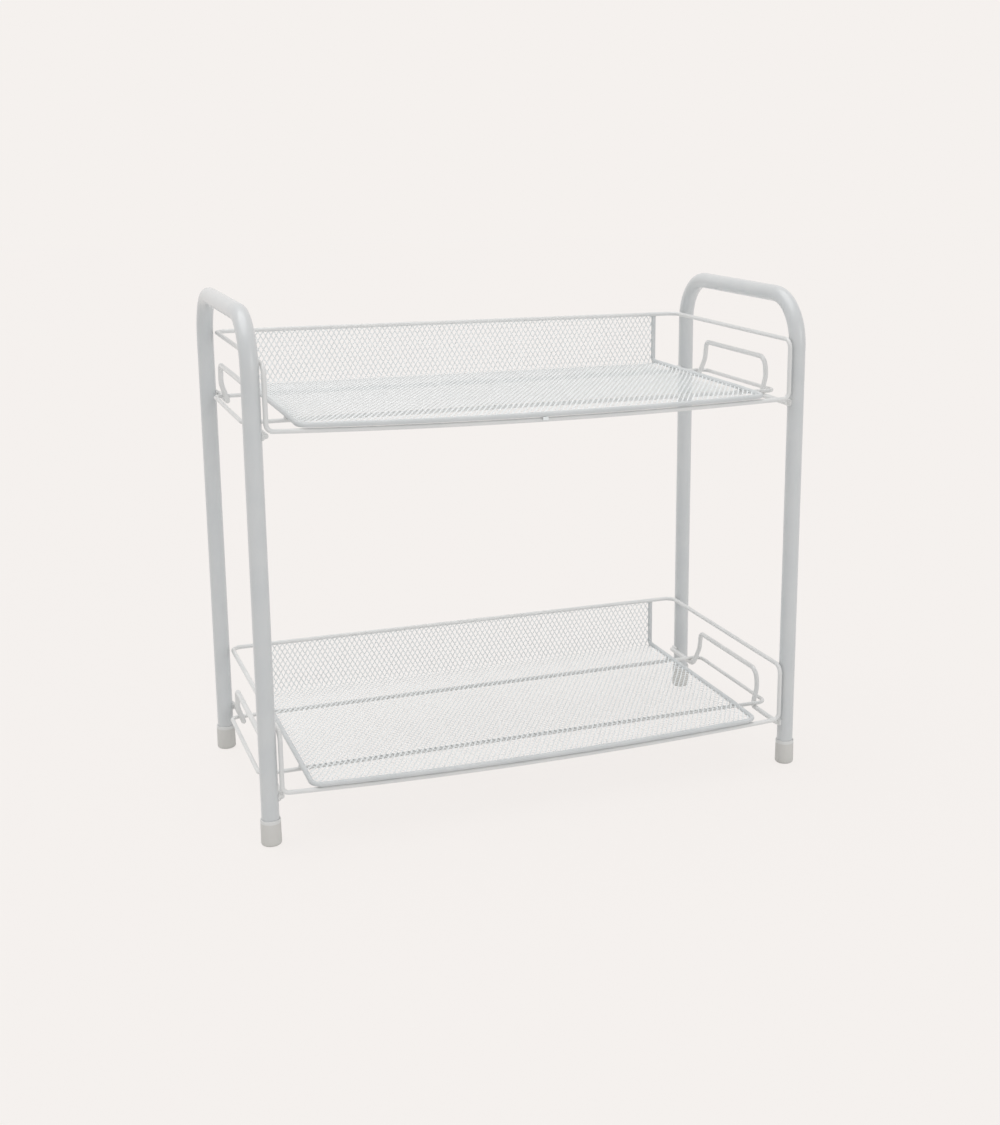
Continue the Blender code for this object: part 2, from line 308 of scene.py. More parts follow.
# %% [markdown]
# ## The coating
#
# Powder coat is sprayed on dry and melted in an oven. It levels into a satin skin with a fine ripple,
# called orange peel, and a slightly uneven tone where it lies thicker. One node group makes both from
# noise on Object coordinates, with the sizes as named inputs, so that tube, wire and mesh can each use it
# with their own values. Very thin strands get almost no ripple, or they would look dented.

# %% The coating's node group
CLOUD_SCALE, CLOUD_DETAIL = 38, 3
CLOUD_LOW, CLOUD_HIGH = 0.38, 0.64
SMEAR_SCALE, SMEAR_DETAIL = 120, 2
PEEL_DETAIL = 1.5
COAT_INPUTS = {
    "Colour": "NodeSocketColor", "Thick Colour": "NodeSocketColor", "Roughness": "NodeSocketFloat",
    "Roughness Spread": "NodeSocketFloat", "Peel Size": "NodeSocketFloat", "Peel Depth": "NodeSocketFloat",
}
COAT_OUTPUTS = {"Colour": "NodeSocketColor", "Roughness": "NodeSocketFloat", "Normal": "NodeSocketVector"}


def powder_coat_group():
    """Colour, roughness and normal of the coating. The peel's size and depth are in millimetres."""
    tree = new_group("powder coat surface", "ShaderNodeTree", COAT_INPUTS, COAT_OUTPUTS)
    given = tree.given
    place = tree.add("ShaderNodeTexCoord", output="Object")

    def noise(scale, detail):
        return tree.add("ShaderNodeTexNoise", {"Vector": place, "Scale": scale, "Detail": detail}, "Fac")

    cloud = tree.map_to_one(noise(CLOUD_SCALE, CLOUD_DETAIL), CLOUD_LOW, CLOUD_HIGH)
    colour = tree.mix(cloud, given["Colour"], given["Thick Colour"])
    smear = tree.math("SUBTRACT", noise(SMEAR_SCALE, SMEAR_DETAIL), 0.5)
    swing = tree.math("MULTIPLY", smear, given["Roughness Spread"])
    roughness = tree.math("ADD", given["Roughness"], swing)
    peel = noise(tree.math("DIVIDE", 1 / MM, given["Peel Size"]), PEEL_DETAIL)
    depth = tree.math("MULTIPLY", given["Peel Depth"], MM)
    relief = tree.add("ShaderNodeBump", {"Strength": 1, "Distance": depth, "Height": peel}, "Normal")
    return tree.finish({"Colour": colour, "Roughness": roughness, "Normal": relief})


COAT = powder_coat_group()
print("coat group has", len(COAT.nodes), "nodes")

# %% [markdown]
# ## Three coated steels
#
# Tube, wire and mesh share one white powder. The tube and the wire get greyer copies of the mesh's white:
# painted shade for the grey they show under the lamps. The tube is also glossier, the wire's ripple finer,
# and the mesh, whitest, flatter on the cut edges of the expanded metal.

# %% Coated materials
# Painted shade: the tube's and the wire's whites are greyer than the mesh's, though all are one coat.
TUBE_SHADED_WHITE = (0.66, 0.675, 0.68, 1)
TUBE_SHADED_THICK_WHITE = (0.63, 0.65, 0.66, 1)
WIRE_SHADED_WHITE = (0.78, 0.78, 0.77, 1)
WIRE_SHADED_THICK_WHITE = (0.75, 0.755, 0.75, 1)
MESH_WHITE = (0.925, 0.945, 0.95, 1)
MESH_THICK_WHITE = (0.905, 0.93, 0.935, 1)
ROUGHNESS_SPREAD = 0.08
COAT_ROUGHNESS = 0.18


def new_material(name):
    """A new material, its tree and its shader."""
    material = bpy.data.materials.new(name)
    material.use_nodes = True
    return material, Tree(material.node_tree), material.node_tree.nodes["Principled BSDF"]


def coated_steel(name, colour, thick_colour, roughness, peel_size, peel_depth, coat_weight):
    material, tree, shader = new_material(name)
    surface = tree.group.nodes.new("ShaderNodeGroup")
    surface.node_tree = COAT
    skin = tree.fill(surface, {
        "Colour": colour, "Thick Colour": thick_colour, "Roughness": roughness,
        "Roughness Spread": ROUGHNESS_SPREAD, "Peel Size": peel_size, "Peel Depth": peel_depth})
    tree.fill(shader, {
        "Base Color": skin["Colour"], "Roughness": skin["Roughness"], "Normal": skin["Normal"],
        "Coat Weight": coat_weight, "Coat Roughness": COAT_ROUGHNESS})
    return material


TUBE_COAT = coated_steel("white tube coat", TUBE_SHADED_WHITE, TUBE_SHADED_THICK_WHITE,
                         roughness=0.32, peel_size=2.2, peel_depth=0.030, coat_weight=0.45)
WIRE_COAT = coated_steel("white wire coat", WIRE_SHADED_WHITE, WIRE_SHADED_THICK_WHITE,
                         roughness=0.38, peel_size=1.5, peel_depth=0.018, coat_weight=0.25)
MESH_COAT = coated_steel("white mesh coat", MESH_WHITE, MESH_THICK_WHITE,
                         roughness=0.52, peel_size=1.0, peel_depth=0.006, coat_weight=0.05)
print("coated materials:", [coat.name for coat in (TUBE_COAT, WIRE_COAT, MESH_COAT)])

# %% [markdown]
# ## End frames
#
# Each end frame is one tube with a 1 mm wall, bent twice. We sweep it as an open skin and give it its
# wall with Solidify, because the leg ends are open inside the caps.

# %% End frames
TUBE_WALL = 1 * MM
TUBE_BEND_RADIUS = 38 * MM
TUBE_RESOLUTION = 14


def frame_mesh(side):
    corners = [(side * LEG_X, -LEG_Y, LEG_FOOT), (side * LEG_X, -LEG_Y, FRAME_TOP),
               (side * LEG_X, LEG_Y, FRAME_TOP), (side * LEG_X, LEG_Y, LEG_FOOT)]
    path = rounded_path(corners, [0, TUBE_BEND_RADIUS, TUBE_BEND_RADIUS, 0])
    skin = swept("frame tube", path, TUBE_RADIUS, TUBE_RESOLUTION)
    return baked(skin, "frame wall", "SOLIDIFY", thickness=TUBE_WALL, offset=-1)


for end, side in ENDS.items():
    add_piece(f"{end}_end_frame", frame_mesh(side), TUBE_COAT, "end_frames", f"{end}_frame")

# %% [markdown]
# ## Brackets
#
# A bracket's feet lie along the inner sides of the legs, where they are welded. Between the legs the
# wire swings out and up into the loop that the shelf hooks over.

# %% Brackets
LOOP_TOP_LENGTH = 108 * MM
LOOP_FOOT_LENGTH = 117 * MM
LOOP_FORWARD = 2 * MM
LOOP_SHOULDER = 15 * MM
LOOP_FOOT_RADIUS = 5 * MM
LOOP_SHOULDER_RADIUS = 20 * MM
LOOP_FRONT_RADIUS = 10 * MM
LOOP_REAR_RADIUS = 5 * MM


def bracket_path(end, side, level):
    low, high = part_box(f"{end}_{level}_bracket")
    inner, outer = sorted((abs(low.x), abs(high.x)))
    foot_x = side * (inner + BRACKET_RADIUS)
    loop_x = side * (outer - BRACKET_RADIUS)
    foot_z = low.z + BRACKET_RADIUS
    top_z = high.z - BRACKET_RADIUS
    foot_half = LOOP_FOOT_LENGTH / 2
    top_half = LOOP_TOP_LENGTH / 2
    upright_half = foot_half - (foot_half - top_half) * LOOP_SHOULDER / (top_z - foot_z)
    corners = [
        (foot_x, low.y, foot_z),
        (foot_x, -LOOP_FORWARD - foot_half, foot_z),
        (loop_x, -LOOP_FORWARD - upright_half, foot_z + LOOP_SHOULDER),
        (loop_x, -LOOP_FORWARD - top_half, top_z),
        (loop_x, -LOOP_FORWARD + top_half, top_z),
        (loop_x, -LOOP_FORWARD + upright_half, foot_z + LOOP_SHOULDER),
        (foot_x, -LOOP_FORWARD + foot_half, foot_z),
        (foot_x, high.y, foot_z),
    ]
    rising_radii = [LOOP_FOOT_RADIUS, LOOP_SHOULDER_RADIUS, LOOP_FRONT_RADIUS]
    falling_radii = [LOOP_REAR_RADIUS, LOOP_SHOULDER_RADIUS, LOOP_FOOT_RADIUS]
    return rounded_path(corners, [0, *rising_radii, *falling_radii, 0])


for end, side in ENDS.items():
    for level in LEVELS:
        name = f"{end}_{level}_bracket"
        mesh = wire_mesh(name, bracket_path(end, side, level), BRACKET_RADIUS)
        add_piece(f"{name}_wire", mesh, WIRE_COAT, "end_frames", name)

# %% [markdown]
# ## The sag of the front edges
#
# In the photograph the front of each tray bows down in the middle by 4 to 5 mm, where nothing holds the
# long thin rail. The rail's uprights hold the ends, and the floor is flat as far as the ring's front run.
# One rule gives the drop at any place, so that rail, rim, sheet and lug stay together.

# %% Front sag
FRONT_SAG = {"lower": 5.0 * MM, "upper": 4.0 * MM}
SAG_STEP = 8 * MM


def sag_places(level):
    """Half the sagging width, and the places front to rear where the sag starts and where it is whole."""
    rail = rail_places(level)
    return rail.half_width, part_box(f"{level}_ring")[0].y + RING_RADIUS, rail.front


def sagged(level, point):
    """The point, lowered by the sag of its shelf's front."""
    half_width, start, whole = sag_places(level)
    near_front = min(max((start - point.y) / (start - whole), 0), 1)
    near_middle = max(1 - (point.x / half_width) ** 2, 0)
    return point - Vector((0, 0, FRONT_SAG[level] * near_front * near_middle))


def sagged_path(level, points):
    """The sagging points, with more put between them, so that no step is much longer than the sag's."""
    path = []
    for here, following in zip(points, points[1:]):
        steps = max(1, round((following - here).length / SAG_STEP))
        path += [here.lerp(following, step / steps) for step in range(steps)]
    return [sagged(level, point) for point in path + [points[-1]]]


# %% [markdown]
# ## Rails and rings
#
# A rail is one closed wire, low across the front and high round the sides and rear. A ring is a flat
# closed wire whose ends pass outside the bracket loops.

# %% Rails and rings
RAIL_FOOT_RADIUS = 5 * MM
RAIL_SHOULDER_RADIUS = 7 * MM
RAIL_REAR_RADIUS = 9 * MM
RING_CORNER_RADIUS = 7 * MM


def rail_mesh(level):
    x, front, rear, low, high = rail_places(level)
    corners = [(-x, front, low), (x, front, low), (x, front, high),
               (x, rear, high), (-x, rear, high), (-x, front, high)]
    radii = [RAIL_FOOT_RADIUS, RAIL_FOOT_RADIUS, RAIL_SHOULDER_RADIUS,
             RAIL_REAR_RADIUS, RAIL_REAR_RADIUS, RAIL_SHOULDER_RADIUS]
    path = sagged_path(level, rounded_path(corners, radii, closed=True))
    return wire_mesh(f"{level} rail", path, RAIL_RADIUS, closed=True)


def ring_mesh(level):
    low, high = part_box(f"{level}_ring")
    x = high.x - RING_RADIUS
    front, rear = low.y + RING_RADIUS, high.y - RING_RADIUS
    z = (low.z + high.z) / 2
    corners = [(-x, front, z), (x, front, z), (x, rear, z), (-x, rear, z)]
    path = rounded_path(corners, [RING_CORNER_RADIUS] * len(corners), closed=True)
    return wire_mesh(f"{level} ring", path, RING_RADIUS, closed=True)


for level in LEVELS:
    add_piece(f"{level}_rail_wire", rail_mesh(level), WIRE_COAT, f"{level}_shelf", f"{level}_rail")
    add_piece(f"{level}_ring_wire", ring_mesh(level), WIRE_COAT, f"{level}_shelf", f"{level}_ring")

# %% [markdown]
# ## Tray rims
#
# The rim is a wire with the edge of the mesh rolled tightly round it. Coating fills the roll, so it looks
# like one smooth rod, with only low ridges where the strands lie under the coat. We sweep a rod as thick
# as wire and roll together, and let a wave texture raise the ridges.

# %% The hem's coat
# Painted shade: the hem's white is greyer than the mesh's white of the same coat, for the shaded rod.
HEM_SHADED_WHITE = (0.67, 0.685, 0.69, 1)
HEM_SHADED_THICK_WHITE = (0.64, 0.66, 0.665, 1)
RIDGE_SPACING = 4.32 * MM
RIDGE_HEIGHT = 0.05 * MM
RIDGE_WANDER = 1.5
# Blender's diagonal bands turn through 10 radians for each unit of length along one axis.
WAVES_PER_UNIT = 10 / math.tau


def hem_coat():
    """The mesh's coat in a greyer copy, painted shade for the rolled rod, with ridges across the rod as far
    apart as the strands.
    """
    material = coated_steel("white hem coat", HEM_SHADED_WHITE, HEM_SHADED_THICK_WHITE,
                            roughness=0.5, peel_size=1.2, peel_depth=0.012, coat_weight=0)
    tree = Tree(material.node_tree)
    shader = material.node_tree.nodes["Principled BSDF"]
    ridges = tree.add("ShaderNodeTexWave", {
        "Vector": tree.add("ShaderNodeTexCoord", output="Object"),
        "Scale": 1 / (RIDGE_SPACING * WAVES_PER_UNIT),
        "Distortion": RIDGE_WANDER}, "Fac", bands_direction="DIAGONAL")
    peel = shader.inputs["Normal"].links[0].from_socket
    relief = {"Distance": RIDGE_HEIGHT, "Height": ridges, "Normal": peel}
    tree.fill(shader, {"Normal": tree.add("ShaderNodeBump", relief, "Normal")})
    return material


HEM_COAT = hem_coat()
print("hem coat has", len(HEM_COAT.node_tree.nodes), "nodes")

# %% Tray rims
HEM_RADIUS = 1.9 * MM
RIM_CORNER_RADIUS = 8 * MM
RIM_FOLD_RADIUS = 3 * MM


def rim_places(level):
    """Half width, front and floor height of a rim, on its axis."""
    low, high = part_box(f"{level}_tray_rim")
    return high.x - RIM_RADIUS, low.y + RIM_RADIUS, low.z + RIM_RADIUS


def rim_mesh(level):
    x, front, z = rim_places(level)
    rear = rail_places(level).rear
    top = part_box(f"{level}_tray_rim")[1].z
    left_half = [(-x, rear, top), (-x, rear, z), (-x, front, z)]
    right_half = [(x, rear, top), (x, rear, z), (x, front, z)]
    radii = [0, RIM_FOLD_RADIUS, RIM_CORNER_RADIUS]
    path = rounded_path(left_half + right_half[::-1], radii + radii[::-1])
    return wire_mesh(f"{level} rim", sagged_path(level, path), HEM_RADIUS)


for level in LEVELS:
    add_piece(f"{level}_rim_wire", rim_mesh(level), HEM_COAT, f"{level}_shelf", f"{level}_tray_rim")

# %% [markdown]
# ## Running Geometry Nodes
#
# What repeats or follows a rule is made by a Geometry Nodes tree. Its sizes are named inputs. A modifier
# wants each input by its identifier, so we look that up from the name, before the object is evaluated.

# %% Geometry trees


def geometry_tree(name, sizes, counts):
    """An empty Geometry Nodes group whose inputs are sizes, counts and the coat."""
    inputs = {"Geometry": "NodeSocketGeometry", "Coat": "NodeSocketMaterial"}
    inputs.update({size: "NodeSocketFloat" for size in sizes})
    inputs.update({count: "NodeSocketInt" for count in counts})
    return new_group(name, "GeometryNodeTree", inputs, {"Geometry": "NodeSocketGeometry"})


def coated(tree, geometry):
    """Ends a tree with its instances made real and its material set."""
    real = tree.add("GeometryNodeRealizeInstances", {"Geometry": geometry})
    coat = {"Geometry": real, "Material": tree.given["Coat"]}
    return tree.finish([tree.add("GeometryNodeSetMaterial", coat)])


def run_tree(group, mesh, name, values):
    """Runs the tree on a mesh with its named inputs set, and returns the result as a plain mesh."""
    holder = bpy.data.objects.new(name, mesh)
    modifier = holder.modifiers.new(name, "NODES")
    modifier.node_group = group
    for socket in group.interface.items_tree:
        if socket.in_out == "INPUT" and socket.name in values:
            modifier[socket.identifier] = values[socket.name]
    return finished_mesh(holder)


# %% [markdown]
# ## Expanded metal
#
# Expanded metal is a sheet that is slit and pulled until each slit opens into a diamond. The strands
# between the diamonds twist as they are pulled, so that their right edges lie lower than their left ones.
# That is why a tray looks like slanted lines from one side and like a net from another. We make one cell,
# the four half strands round one opening, with the tilt in it, and place it on a staggered grid. The cells'
# outer edges meet, so merging them gives one sheet. The sheet is then shaped where the real one is: it
# climbs into the rim at the sides and front, and folds up at the rear to meet the rear rail. Its outermost
# cells are gathered inside the rim's rod and the rail, as the rolled edge is, so no open edge shows.

# %% One cell of the mesh


def strand_cell(tree):
    """Four half strands round one diamond opening, tilted as the pulling leaves them."""
    half_width, half_length = tree.given["Half Width"], tree.given["Half Length"]
    circle = tree.add("GeometryNodeMeshCircle", {"Vertices": 4, "Radius": 1}, fill_type="NGON")
    round_x, round_y, _ = tree.split(tree.add("GeometryNodeInputPosition"))
    corner_place = tree.join(tree.math("MULTIPLY", round_x, half_width),
                             tree.math("MULTIPLY", round_y, half_length), 0)
    diamond = tree.add("GeometryNodeSetPosition", {"Geometry": circle, "Position": corner_place})
    extrude = tree.group.nodes.new("GeometryNodeExtrudeMesh")
    ring = tree.fill(extrude, {"Mesh": diamond, "Offset Scale": 0})
    area = tree.math("MULTIPLY", half_width, half_length)
    squares = tree.math("ADD", tree.math("MULTIPLY", half_width, half_width),
                        tree.math("MULTIPLY", half_length, half_length))
    half_side = tree.math("MULTIPLY", tree.math("SQRT", squares), 0.5)
    inset = tree.math("DIVIDE", tree.math("MULTIPLY", tree.given["Strand Width"], half_side), area)
    share = tree.math("SUBTRACT", 1, inset)
    x, y, _ = tree.split(tree.add("GeometryNodeInputPosition"))
    rise = tree.math("MULTIPLY", tree.math("DIVIDE", x, half_width), tree.given["Tilt"])
    inner = tree.join(tree.math("MULTIPLY", x, share), tree.math("MULTIPLY", y, share), rise)
    tilted = tree.add("GeometryNodeSetPosition", {
        "Geometry": ring["Mesh"], "Selection": ring["Top"], "Position": inner})
    opened = {"Geometry": tilted, "Selection": ring["Top"]}
    return tree.add("GeometryNodeDeleteGeometry", opened, domain="FACE")


# %% [markdown]
# ## Bending a flat sheet
#
# A point has a way along the sheet and a height over it. Past the bend's start, the way becomes an angle
# about a centre one radius above the sheet, and past the whole turn the sheet runs straight on. How far a
# point lies from the sheet's edge decides how far it has climbed, and where it is gathered.

# %% The bend rule and the edge distance


def bend(tree, along, height, start, radius, turn):
    """Bends the sheet at start, with a radius and through a turn. Returns the new along and height."""
    past = tree.math("SUBTRACT", along, start)
    arc = tree.math("MULTIPLY", radius, turn)
    within = tree.math("MINIMUM", tree.math("MAXIMUM", past, 0), arc)
    angle = tree.math("DIVIDE", within, radius)
    beyond = tree.math("MAXIMUM", tree.math("SUBTRACT", past, arc), 0)
    lever = tree.math("SUBTRACT", radius, height)
    sine, cosine = tree.math("SINE", angle), tree.math("COSINE", angle)
    base = tree.math("MINIMUM", along, start)
    new_along = tree.math("ADD", tree.math("ADD", base, tree.math("MULTIPLY", lever, sine)),
                          tree.math("MULTIPLY", beyond, cosine))
    new_height = tree.math("ADD", tree.math("SUBTRACT", radius, tree.math("MULTIPLY", lever, cosine)),
                           tree.math("MULTIPLY", beyond, sine))
    return new_along, new_height


def edge_distance(tree, across, along):
    """How far outside the rim's axis a point lies, and the way out, round the front's rounded corners."""
    corner = tree.given["Corner Radius"]
    past_side = tree.math("SUBTRACT", tree.math("ABSOLUTE", across),
                          tree.math("SUBTRACT", tree.given["Floor Half Width"], corner))
    past_front = tree.math("SUBTRACT", tree.math("ADD", tree.given["Floor Front"], corner), along)
    outside = tree.vector("MAXIMUM", tree.join(past_side, past_front, 0), (0, 0, 0))
    length = tree.vector("LENGTH", outside, output=1)
    inside = tree.math("MINIMUM", tree.math("MAXIMUM", past_side, past_front), 0)
    distance = tree.math("SUBTRACT", tree.math("ADD", length, inside), corner)
    way_x, way_y, _ = tree.split(tree.vector("NORMALIZE", outside))
    sideways = tree.math("MULTIPLY", way_x, tree.math("SIGN", across))
    return distance, tree.join(sideways, tree.math("MULTIPLY", way_y, -1), 0)


# %% Places and heights on the sheet
MERGE_DISTANCE = 0.02 * MM
SHEET_COUNTS = ("Columns", "Rows")
SHEET_SIZES = (
    "Half Width", "Half Length", "Strand Width", "Tilt", "Hem Reach", "Hem Gather", "Floor Half Width",
    "Floor Front", "Corner Radius", "Climb", "Climb Width", "Fold Start", "Fold Radius", "Top",
    "Sheet Height", "Sag", "Sag Half Width", "Sag Start", "Sag Whole",
)


def cell_places(tree):
    """A staggered grid of points that starts at the front hem, cut to the sheet's outline."""
    given = tree.given
    width = tree.math("MULTIPLY", tree.math("SUBTRACT", given["Columns"], 1),
                      tree.math("MULTIPLY", given["Half Width"], 2))
    depth = tree.math("MULTIPLY", tree.math("SUBTRACT", given["Rows"], 1), given["Half Length"])
    grid = tree.add("GeometryNodeMeshGrid", {
        "Size X": width, "Size Y": depth, "Vertices X": given["Columns"], "Vertices Y": given["Rows"]})
    x, y, _ = tree.split(tree.add("GeometryNodeInputPosition"))
    from_front = tree.math("ADD", y, tree.math("MULTIPLY", depth, 0.5))
    row = tree.math("ROUND", tree.math("DIVIDE", from_front, given["Half Length"]))
    stagger = tree.math("MULTIPLY", tree.math("MODULO", row, 2), given["Half Width"])
    front = tree.math("SUBTRACT", given["Floor Front"], given["Hem Reach"])
    place = tree.join(tree.math("ADD", x, stagger), tree.math("ADD", from_front, front), 0)
    points = tree.add("GeometryNodeSetPosition", {"Geometry": grid, "Position": place})
    across, along, _ = tree.split(tree.add("GeometryNodeInputPosition"))
    distance, _ = edge_distance(tree, across, along)
    over_edge = tree.math("GREATER_THAN", distance, given["Hem Reach"])
    over_top = tree.math("GREATER_THAN", along, given["Top"])
    unwanted = {"Geometry": points, "Selection": tree.math("MAXIMUM", over_edge, over_top)}
    return tree.add("GeometryNodeDeleteGeometry", unwanted, domain="POINT")


def climb_height(tree, distance, along):
    """How far the floor has climbed towards the rim: nothing in its middle, and nothing where it folds."""
    near_hem = tree.math("ADD", tree.math("DIVIDE", distance, tree.given["Climb Width"]), 1, clamp=True)
    before_fold = tree.math("SUBTRACT", tree.given["Fold Start"], along)
    off_fold = tree.math("DIVIDE", before_fold, tree.given["Climb Width"], clamp=True)
    return tree.math("MULTIPLY", tree.given["Climb"],
                     tree.math("MULTIPLY", tree.math("MULTIPLY", near_hem, near_hem), off_fold))


def gathered(tree, past):
    """A distance past a wire's axis shrinks to the gather's share, so the sheet ends inside the wire."""
    return tree.math("ADD", tree.math("MINIMUM", past, 0),
                     tree.math("MULTIPLY", tree.math("MAXIMUM", past, 0), tree.given["Hem Gather"]))


def sag_drop(tree, across, along):
    """How far the front's sag lowers a point: none behind its start, and none at the ends."""
    given = tree.given
    deep = tree.math("SUBTRACT", given["Sag Start"], given["Sag Whole"])
    near_front = tree.math("DIVIDE", tree.math("SUBTRACT", given["Sag Start"], along), deep, clamp=True)
    out = tree.math("DIVIDE", across, given["Sag Half Width"])
    near_middle = tree.math("SUBTRACT", 1, tree.math("MULTIPLY", out, out), clamp=True)
    return tree.math("MULTIPLY", given["Sag"], tree.math("MULTIPLY", near_front, near_middle))


# %% The sheet's tree


def sheet_tree():
    tree = geometry_tree("expanded metal sheet", SHEET_SIZES, SHEET_COUNTS)
    given = tree.given
    placed = tree.add("GeometryNodeInstanceOnPoints", {
        "Points": cell_places(tree), "Instance": strand_cell(tree)})
    cells = tree.add("GeometryNodeRealizeInstances", {"Geometry": placed})
    sheet = tree.add("GeometryNodeMergeByDistance", {"Geometry": cells, "Distance": MERGE_DISTANCE})
    position = tree.add("GeometryNodeInputPosition")
    across, along, tilt_height = tree.split(position)
    distance, way = edge_distance(tree, across, along)
    height = tree.math("ADD", tilt_height, climb_height(tree, distance, along))
    shrunk = tree.math("SUBTRACT", gathered(tree, distance), distance)
    shift = tree.vector("SCALE", way, (0, 0, 0), (0, 0, 0), shrunk)
    new_across, new_along, _ = tree.split(tree.vector("ADD", position, shift))
    past_top = tree.math("SUBTRACT", new_along, given["Top"])
    top_along = tree.math("ADD", given["Top"], gathered(tree, past_top))
    last_along, last_height = bend(tree, top_along, height,
                                   given["Fold Start"], given["Fold Radius"], QUARTER)
    lowered = tree.math("SUBTRACT", given["Sheet Height"], sag_drop(tree, new_across, last_along))
    place = tree.join(new_across, last_along, tree.math("ADD", last_height, lowered))
    return coated(tree, tree.add("GeometryNodeSetPosition", {"Geometry": sheet, "Position": place}))


SHEET_TREE = sheet_tree()
print("sheet tree has", len(SHEET_TREE.nodes), "nodes")

# %% [markdown]
# ## Making the two sheets
#
# The diamonds are 4.3 mm across and 7.4 mm long, with the long way running front to rear and up the back.
# The floor lies 1.75 mm under the rim's axis, and its outer 12 mm climb to just above that axis. After the
# tree, Solidify gives the strands their thickness.

# %% Sheets
CELL_HALF_WIDTH = 2.16 * MM
CELL_HALF_LENGTH = 3.7 * MM
STRAND_WIDTH = 0.95 * MM
STRAND_TILT = 0.48 * MM
SHEET_THICKNESS = 0.14 * MM
SHEET_UNDER_RIM = 1.75 * MM
SHEET_OVER_AXIS = 0.9 * MM
CLIMB_WIDTH = 12 * MM
HEM_REACH = 2.5 * MM
HEM_GATHER = 0.2


def sheet_mesh(level):
    rim_x, rim_front, rim_z = rim_places(level)
    rail = rail_places(level)
    fold_radius = RIM_FOLD_RADIUS + SHEET_UNDER_RIM
    fold_start = rail.rear - fold_radius
    sheet_z = rim_z - SHEET_UNDER_RIM
    top = fold_start + fold_radius * QUARTER + rail.high - (sheet_z + fold_radius)
    columns = 2 * math.ceil((rim_x + HEM_REACH) / (2 * CELL_HALF_WIDTH)) + 2
    rows = math.ceil((top - rim_front + HEM_REACH) / CELL_HALF_LENGTH) + 1
    sag_half, sag_start, sag_whole = sag_places(level)
    values = {
        "Half Width": CELL_HALF_WIDTH, "Half Length": CELL_HALF_LENGTH, "Strand Width": STRAND_WIDTH,
        "Tilt": STRAND_TILT, "Hem Reach": HEM_REACH, "Hem Gather": HEM_GATHER,
        "Columns": columns, "Rows": rows, "Floor Half Width": rim_x, "Floor Front": rim_front,
        "Corner Radius": RIM_CORNER_RADIUS, "Climb": SHEET_UNDER_RIM + SHEET_OVER_AXIS,
        "Climb Width": CLIMB_WIDTH, "Fold Start": fold_start, "Fold Radius": fold_radius, "Top": top,
        "Sheet Height": sheet_z, "Sag": FRONT_SAG[level], "Sag Half Width": sag_half,
        "Sag Start": sag_start, "Sag Whole": sag_whole, "Coat": MESH_COAT,
    }
    print(level, "mesh:", columns, "columns and", rows, "staggered rows")
    return run_tree(SHEET_TREE, bpy.data.meshes.new("sheet seed"), f"{level} sheet", values)


for level in LEVELS:
    strands = baked(sheet_mesh(level), "strand thickness", "SOLIDIFY", thickness=SHEET_THICKNESS, offset=0)
    add_piece(f"{level}_mesh_sheet", strands, MESH_COAT, f"{level}_shelf",
              f"{level}_floor_mesh", f"{level}_back_mesh")

# %% [markdown]
# ## Weld beads
#
# Every joint is a short weld under the coating: a low swelling with slight ripples. A tree turns each
# edge of a seed mesh into one bead: it resamples the edge, gives the points a radius that rises and falls
# along it with a little fixed noise, and sweeps a circle.

# %% The bead tree
BEAD_STEPS = 17
BEAD_SIDES = 14
BEAD_RIPPLE = 0.5
BEAD_SEED = 3.0
BEAD_NOISE_SCALE = 1.1 / MM
BEAD_END_SHARE = 0.02


def bead_tree():
    tree = geometry_tree("weld beads", ("Radius", "Ripple", "Seed"), ("Steps",))
    given = tree.given
    lines = tree.add("GeometryNodeMeshToCurve", {"Mesh": given["Geometry"]})
    runs = tree.add("GeometryNodeResampleCurve", {"Curve": lines, "Count": given["Steps"]})
    way = tree.add("GeometryNodeSplineParameter", output="Factor")
    centred = tree.math("SUBTRACT", tree.math("MULTIPLY", way, 2), 1)
    bulge = tree.math("SUBTRACT", 1, tree.math("MULTIPLY", centred, centred))
    swell = tree.math("SQRT", tree.math("MAXIMUM", bulge, BEAD_END_SHARE ** 2))
    noise = tree.add("ShaderNodeTexNoise", {
        "Vector": tree.add("GeometryNodeInputPosition"), "W": given["Seed"],
        "Scale": BEAD_NOISE_SCALE, "Detail": 1}, noise_dimensions="4D")
    ripple = tree.math("MULTIPLY", tree.math("SUBTRACT", noise, 0.5), given["Ripple"])
    size = tree.math("MULTIPLY", tree.math("MULTIPLY", swell, given["Radius"]), tree.math("ADD", ripple, 1))
    profile = tree.add("GeometryNodeCurvePrimitiveCircle", {"Resolution": BEAD_SIDES, "Radius": 1})
    return coated(tree, tree.add("GeometryNodeCurveToMesh", {
        "Curve": runs, "Profile Curve": profile, "Scale": size, "Fill Caps": True}))


BEAD_TREE = bead_tree()
print("bead tree has", len(BEAD_TREE.nodes), "nodes")


def beads(name, lines, radius, body):
    """One bead along each line, joined into one piece on a body."""
    seed = bpy.data.meshes.new(name)
    points = [point for line in lines for point in line]
    seed.from_pydata(points, [(2 * index, 2 * index + 1) for index in range(len(lines))], [])
    mesh = run_tree(BEAD_TREE, seed, name, {
        "Radius": radius, "Steps": BEAD_STEPS, "Ripple": BEAD_RIPPLE, "Seed": BEAD_SEED, "Coat": WIRE_COAT})
    add_piece(name, mesh, WIRE_COAT, body, slot="wire_coat")


# %% Beads on the brackets' feet
BEAD_LENGTH = 9 * MM
BEAD_RISE = 6 * MM
BEAD_APART = 2.2 * MM
FOOT_BEAD_RADIUS = 1.7 * MM
FOOT_CORNER_SHARE = 0.75


